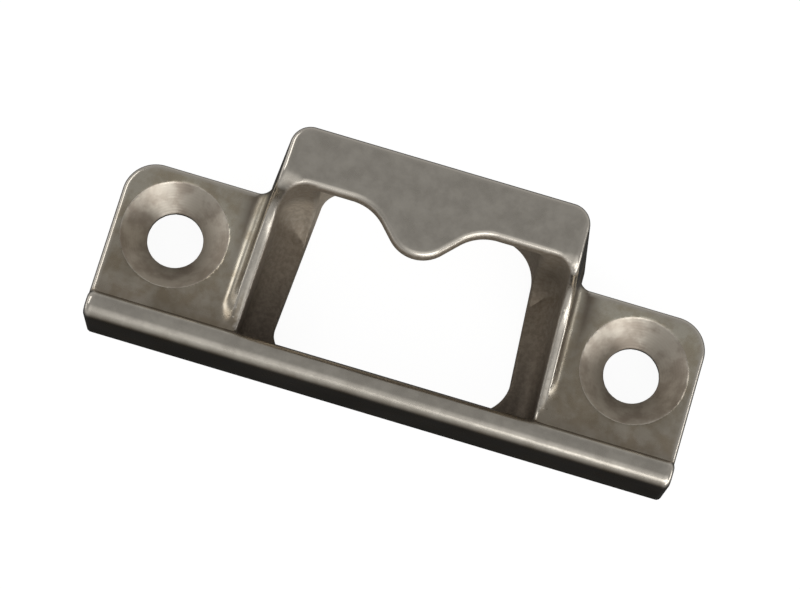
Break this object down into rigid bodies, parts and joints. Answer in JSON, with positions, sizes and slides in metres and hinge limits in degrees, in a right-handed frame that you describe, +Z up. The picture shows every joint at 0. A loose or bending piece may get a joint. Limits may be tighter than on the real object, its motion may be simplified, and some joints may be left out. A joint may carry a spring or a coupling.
{
  "type": "window sash lock keeper",
  "caption": "Cast stainless keeper for a window sash lock: flat countersunk ears, a straight front rail and a raised bridge whose wavy lip overhangs a through window for the lock's cam.",
  "frame": {"origin": "centre of the bounding box's bottom, on the mounting face", "axes": "+X along the keeper's length, +Y from the front rail to the bridge, +Z up off the mounting face, out of the countersinks"},
  "size_m": [0.051, 0.0196, 0.0127],
  "materials": {
    "keeper_casting": "tumbled satin cast stainless steel"
  },
  "bodies": {
    "root": {"keeper_casting": "keeper_casting"}
  },
  "joints": []
}
